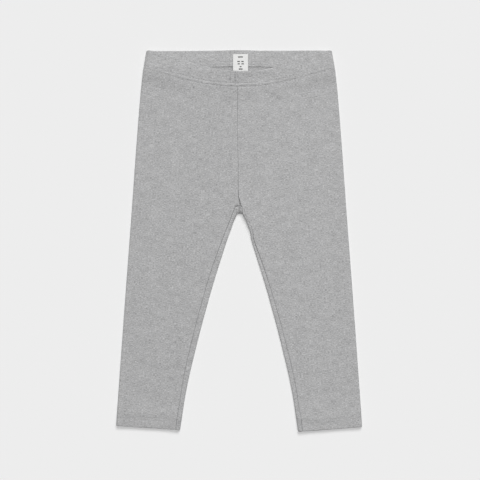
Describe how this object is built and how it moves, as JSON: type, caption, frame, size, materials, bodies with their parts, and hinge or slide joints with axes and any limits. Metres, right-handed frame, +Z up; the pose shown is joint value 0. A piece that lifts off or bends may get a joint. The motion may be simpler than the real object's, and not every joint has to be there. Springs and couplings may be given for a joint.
{
  "type": "leggings",
  "caption": "Small child's plain jersey leggings laid flat: legs folded at the sides, elastic waistband sagging at the front, centre seam, inseams and turned hems.",
  "frame": {"origin": "middle of the garment on the surface it lies on", "axes": "+Y from the hems towards the waist, +Z up off the surface and out of the front, +X towards the picture's right"},
  "size_m": [0.283, 0.4399, 0.0063],
  "materials": {
    "heather_jersey": "matt fine-gauge jersey in a light heather grey, flecked along the courses",
    "label_satin": "white woven satin ribbon with cut edges"
  },
  "bodies": {
    "root": {"leg_left": "heather_jersey", "leg_right": "heather_jersey", "waistband": "heather_jersey", "size_label": "label_satin"}
  },
  "joints": []
}
